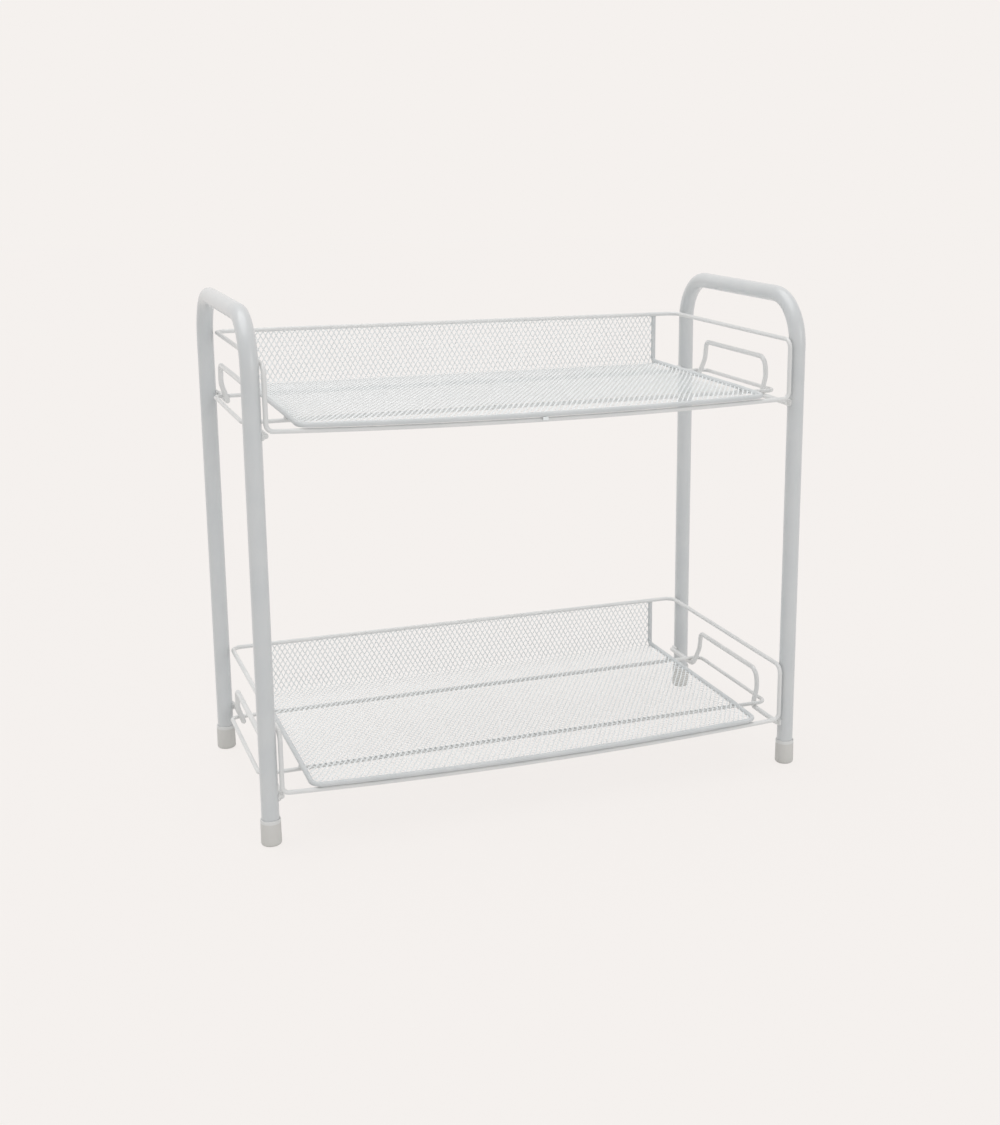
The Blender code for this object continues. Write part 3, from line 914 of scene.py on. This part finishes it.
def foot_bead_lines():
    """Four beads where each foot meets a leg, two along the foot and two up the leg."""
    lines = []
    for end, side in ENDS.items():
        for level in LEVELS:
            foot_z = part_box(f"{end}_{level}_bracket")[0].z + BRACKET_RADIUS
            for leg_y in (-LEG_Y, LEG_Y):
                x = side * (LEG_X - TUBE_RADIUS)
                for way in (-1, 1):
                    z, y = foot_z + way * BRACKET_RADIUS * FOOT_CORNER_SHARE, leg_y + way * BEAD_APART
                    lines.append(((x, leg_y - BEAD_LENGTH / 2, z), (x, leg_y + BEAD_LENGTH / 2, z)))
                    lines.append(((x, y, foot_z - BEAD_RISE / 2), (x, y, foot_z + BEAD_RISE / 2)))
    return lines


beads("bracket_weld_beads", foot_bead_lines(), FOOT_BEAD_RADIUS, "end_frames")

# %% Beads on each shelf
RING_BEAD_LENGTH = 5.5 * MM
RING_BEAD_RADIUS = 1.1 * MM
RIM_CORNER_SHARE = 0.6
RAIL_CORNER_SHARE = 0.8


def shelf_bead_lines(level):
    """Beads where the rim crosses the ring, and where its ends meet the rear rail."""
    rim_x, _, rim_z = rim_places(level)
    rail = rail_places(level)
    ring_low, ring_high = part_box(f"{level}_ring")
    crossing_z = (ring_high.z + rim_z - RIM_RADIUS) / 2
    half = RING_BEAD_LENGTH / 2
    lines = []
    for side in (-1, 1):
        for y in (ring_low.y + RING_RADIUS, ring_high.y - RING_RADIUS):
            for outer in (-1, 1):
                x = side * rim_x + outer * RIM_RADIUS * RIM_CORNER_SHARE
                lines.append(((x, y - half, crossing_z), (x, y + half, crossing_z)))
        end_z = rail.high - RAIL_RADIUS * RAIL_CORNER_SHARE
        lines.append(((side * rim_x - half, rail.rear, end_z), (side * rim_x + half, rail.rear, end_z)))
    return lines


for level in LEVELS:
    beads(f"{level}_shelf_weld_beads", shelf_bead_lines(level), RING_BEAD_RADIUS, f"{level}_shelf")

# %% [markdown]
# ## The lug
#
# The upper tray has one small lug under the middle of its front rim, a drop of weld that holds rim and rail
# together. A short box with widely rounded edges makes it.

# %% The lug
LUG_SHARES = Vector((0.9, 1, 0.8))
LUG_RISE = 1.0 * MM
LUG_EDGE_RADIUS = 0.7 * MM
LUG_EDGE_STEPS = 5


def lug_mesh():
    low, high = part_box("upper_rim_lug")
    build = bmesh.new()
    bmesh.ops.create_cube(build, size=1)
    size = (high - low) * LUG_SHARES
    middle = sagged("upper", (low + high) / 2 + Vector((0, 0, LUG_RISE)))
    build.transform(Matrix.Translation(middle) @ Matrix.Diagonal((*size, 1)))
    bmesh.ops.bevel(build, geom=build.edges[:], offset=LUG_EDGE_RADIUS, segments=LUG_EDGE_STEPS,
                    profile=0.5, affect="EDGES")
    return as_mesh(build, "lug")


add_piece("upper_front_lug", lug_mesh(), MESH_COAT, "upper_shelf", "upper_rim_lug")

# %% [markdown]
# ## Foot caps
#
# Each cap is a soft plastic cup, moulded with a rounded lip, a slight flare and a shallow hollow under its
# floor. A lighter band painted round the lip is a painted highlight for the light it catches, and the foot
# is a little scuffed. It is a turned shape, so its half section is spun about the leg's axis.

# %% The cap's plastic
CAP_COLOUR = (0.67, 0.66, 0.635, 1)
CAP_SCUFF = (0.59, 0.58, 0.55, 1)
# Painted highlight: a lighter band round the cap's top for the light that the lip catches.
CAP_LIP_HIGHLIGHT = (0.75, 0.75, 0.74, 1)
CAP_LIP_BAND = 2.4 * MM
CAP_LIP_FADE = 0.48 * MM
CAP_SCUFF_HEIGHT = 3.5 * MM
CAP_ROUGHNESS = 0.58
GRAIN_SCALE, GRAIN_DETAIL = 2.2 / MM, 2
GRAIN_STRENGTH, GRAIN_DEPTH = 0.5, 0.02 * MM
RUB_SCALE, RUB_DETAIL = 0.35 / MM, 4


def cap_plastic():
    material, tree, shader = new_material("light grey cap plastic")
    place = tree.add("ShaderNodeTexCoord", output="Object")
    height = tree.split(place)["Z"]
    grain = tree.add("ShaderNodeTexNoise", {
        "Vector": place, "Scale": GRAIN_SCALE, "Detail": GRAIN_DETAIL}, "Fac")
    relief = tree.add("ShaderNodeBump", {
        "Strength": GRAIN_STRENGTH, "Distance": GRAIN_DEPTH, "Height": grain}, "Normal")
    rub = tree.add("ShaderNodeTexNoise", {"Vector": place, "Scale": RUB_SCALE, "Detail": RUB_DETAIL}, "Fac")
    near_foot = tree.map_to_one(height, CAP_SCUFF_HEIGHT, 0)
    tone = tree.mix(tree.math("MULTIPLY", near_foot, rub), CAP_COLOUR, CAP_SCUFF)
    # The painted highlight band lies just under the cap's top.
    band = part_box("left_front_foot_cap")[1].z - CAP_LIP_BAND
    in_lip_highlight = tree.map_to_one(height, band - CAP_LIP_FADE, band)
    tree.fill(shader, {"Base Color": tree.mix(in_lip_highlight, tone, CAP_LIP_HIGHLIGHT),
                       "Roughness": CAP_ROUGHNESS, "Normal": relief})
    return material


CAP_PLASTIC = cap_plastic()
print("cap plastic has", len(CAP_PLASTIC.node_tree.nodes), "nodes")

# %% The cap's shape
CAP_FLOOR = 3 * MM
CAP_BORE = 6.56 * MM
CAP_LIP_ROUND = 0.35 * MM
CAP_SLIM = 0.4 * MM
CAP_FLARE = 0.2 * MM
CAP_EDGE_ROUND = 2 * MM
CAP_RECESS_DEPTH = 0.6 * MM
CAP_RECESS_RADIUS = 3.6 * MM
LIP_STEPS = 4
EDGE_STEPS = 8
SPIN_STEPS = 72


def arc(centre_r, centre_z, radius, start, end, steps):
    """Points on an arc in the half section, from angle start to end in degrees."""
    angles = [math.radians(start + (end - start) * step / steps) for step in range(steps + 1)]
    return [(centre_r + radius * math.cos(angle), centre_z + radius * math.sin(angle)) for angle in angles]


def cap_section(height, mouth, foot):
    """Half section from the bore's floor up over the lip and down the outside to the middle of the base."""
    lip, edge = CAP_LIP_ROUND, CAP_EDGE_ROUND
    section = [(0, CAP_FLOOR), (CAP_BORE, CAP_FLOOR)]
    section += arc(CAP_BORE + lip, height - lip, lip, 180, 90, LIP_STEPS)
    section += arc(mouth - lip, height - lip, lip, 90, 0, LIP_STEPS)
    section += arc(foot - edge, edge, edge, 0, -90, EDGE_STEPS)
    section += [(CAP_RECESS_RADIUS + CAP_RECESS_DEPTH, 0), (CAP_RECESS_RADIUS, CAP_RECESS_DEPTH),
                (0, CAP_RECESS_DEPTH)]
    return section


def cap_mesh(node):
    low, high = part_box(node)
    centre = (low + high) / 2
    foot = (high.x - low.x) / 2 - CAP_SLIM
    build = bmesh.new()
    vertices = [build.verts.new((centre.x + radius, centre.y, z))
                for radius, z in cap_section(high.z, foot - CAP_FLARE, foot)]
    edges = [build.edges.new(pair) for pair in zip(vertices, vertices[1:])]
    bmesh.ops.spin(build, geom=vertices + edges, cent=(centre.x, centre.y, 0), axis=(0, 0, 1),
                   angle=math.tau, steps=SPIN_STEPS, use_merge=True)
    return welded(build, node)


for end in ENDS:
    for row in ("front", "rear"):
        node = f"{end}_{row}_foot_cap"
        add_piece(f"{end}_{row}_cap_shell", cap_mesh(node), CAP_PLASTIC, "end_frames", node)

# %% [markdown]
# ## Floor, backdrop and light
#
# The photograph has an almost white, slightly warm ground. The floor and the world show that colour to
# the camera and in reflections, while the lamps stay at a plain level so that the white coat keeps its
# grey shading. Two suns with a wide angle stand for softboxes, one overhead and a weaker one low in front
# that also reaches under the upper shelf. Suns light a floor of any size evenly, so no edge shows where
# floor and backdrop meet. The floor takes the object's soft shadow, and throws light up under the shelves
# as a white table does.

# %% Stage
GROUND = (0.913, 0.879, 0.855, 1)
FLOOR_SIZE = 14
FLOOR_ROUGHNESS = 0.9
FLOOR_SHADE = (0.10, 0.096, 0.094, 1)
FLOOR_BOUNCE = (0.80, 0.79, 0.78, 1)
FLOOR_GLOW = 0.888
SKY = (0.54, 0.54, 0.54, 1)


def is_seen(tree):
    """1 for camera and glossy rays."""
    path = tree.group.nodes.new("ShaderNodeLightPath").outputs
    return tree.math("MAXIMUM", path["Is Camera Ray"], path["Is Glossy Ray"])


def floor_material():
    material, tree, shader = new_material("pale floor")
    seen = is_seen(tree)
    tree.fill(shader, {
        "Base Color": tree.mix(seen, FLOOR_BOUNCE, FLOOR_SHADE), "Roughness": FLOOR_ROUGHNESS,
        "Specular IOR Level": 0, "Emission Color": GROUND,
        "Emission Strength": tree.math("MULTIPLY", seen, FLOOR_GLOW)})
    return material


def add_floor():
    build = bmesh.new()
    bmesh.ops.create_grid(build, x_segments=1, y_segments=1, size=FLOOR_SIZE / 2)
    mesh = as_mesh(build, "floor")
    mesh.materials.append(floor_material())
    add_to_scene(bpy.data.objects.new("floor", mesh))


def set_world():
    world = bpy.data.worlds.new("studio")
    bpy.context.scene.world = world
    world.use_nodes = True
    tree = Tree(world.node_tree)
    tree.fill(world.node_tree.nodes["Background"], {"Color": tree.mix(is_seen(tree), SKY, GROUND)})


# %% Lamps
OVERHEAD_WAY, OVERHEAD_STRENGTH, OVERHEAD_SPREAD = (0.2, -0.12, -1), 1.42, 60
FRONT_WAY, FRONT_STRENGTH, FRONT_SPREAD = (-0.5, 1.0, -0.3), 0.42, 30


def add_sun(name, way, strength, spread):
    """A lamp that lights the whole floor evenly along a way, from a patch of sky spread degrees wide."""
    lamp = bpy.data.lights.new(name, "SUN")
    lamp.energy = strength
    lamp.angle = math.radians(spread)
    holder = add_to_scene(bpy.data.objects.new(name, lamp))
    holder.rotation_euler = Vector(way).to_track_quat("-Z", "Y").to_euler()


add_floor()
set_world()
add_sun("overhead softbox", OVERHEAD_WAY, OVERHEAD_STRENGTH, OVERHEAD_SPREAD)
add_sun("front softbox", FRONT_WAY, FRONT_STRENGTH, FRONT_SPREAD)
print("lamps:", [lamp.name for lamp in bpy.data.lights])

# %% [markdown]
# ## Camera
#
# The view was worked out from the photograph: the camera stands to the left of the middle and a little
# above the top, and looks down to the right. The picture is a crop from a wider view, which a small lens
# shift repeats.

# %% Camera
CAMERA_PLACE = (-390.1 * MM, -1169.1 * MM, 499.5 * MM)
YAW, PITCH, ROLL = math.radians(22.24), math.radians(13.03), math.radians(0.23)
FOCAL_PIXELS = 1553.4
IMAGE_WIDTH, IMAGE_HEIGHT = 1000, 1125
CENTRE_PIXEL = (600.0, 505.8)
SENSOR_WIDTH = 36
VIEW_DEPTH = 50


def add_camera():
    ahead = Vector((math.sin(YAW) * math.cos(PITCH), math.cos(YAW) * math.cos(PITCH), -math.sin(PITCH)))
    level_right = Vector((math.cos(YAW), -math.sin(YAW), 0))
    level_up = level_right.cross(ahead)
    right = math.cos(ROLL) * level_right + math.sin(ROLL) * level_up
    up = math.cos(ROLL) * level_up - math.sin(ROLL) * level_right
    lens = bpy.data.cameras.new("photo view")
    lens.sensor_fit = "HORIZONTAL"
    lens.sensor_width = SENSOR_WIDTH
    lens.lens = FOCAL_PIXELS / IMAGE_WIDTH * SENSOR_WIDTH
    lens.shift_x = (IMAGE_WIDTH / 2 - CENTRE_PIXEL[0]) / IMAGE_WIDTH
    lens.shift_y = (CENTRE_PIXEL[1] - IMAGE_HEIGHT / 2) / IMAGE_WIDTH
    lens.clip_end = VIEW_DEPTH
    camera = add_to_scene(bpy.data.objects.new("photo view", lens))
    turn = Matrix((right, up, -ahead)).transposed().to_4x4()
    camera.matrix_world = Matrix.Translation(CAMERA_PLACE) @ turn
    bpy.context.scene.camera = camera
    return camera


view = add_camera()
bpy.context.scene.view_settings.view_transform = "Standard"
print("camera at", [round(value, 3) for value in view.location], "lens", round(view.data.lens, 2))
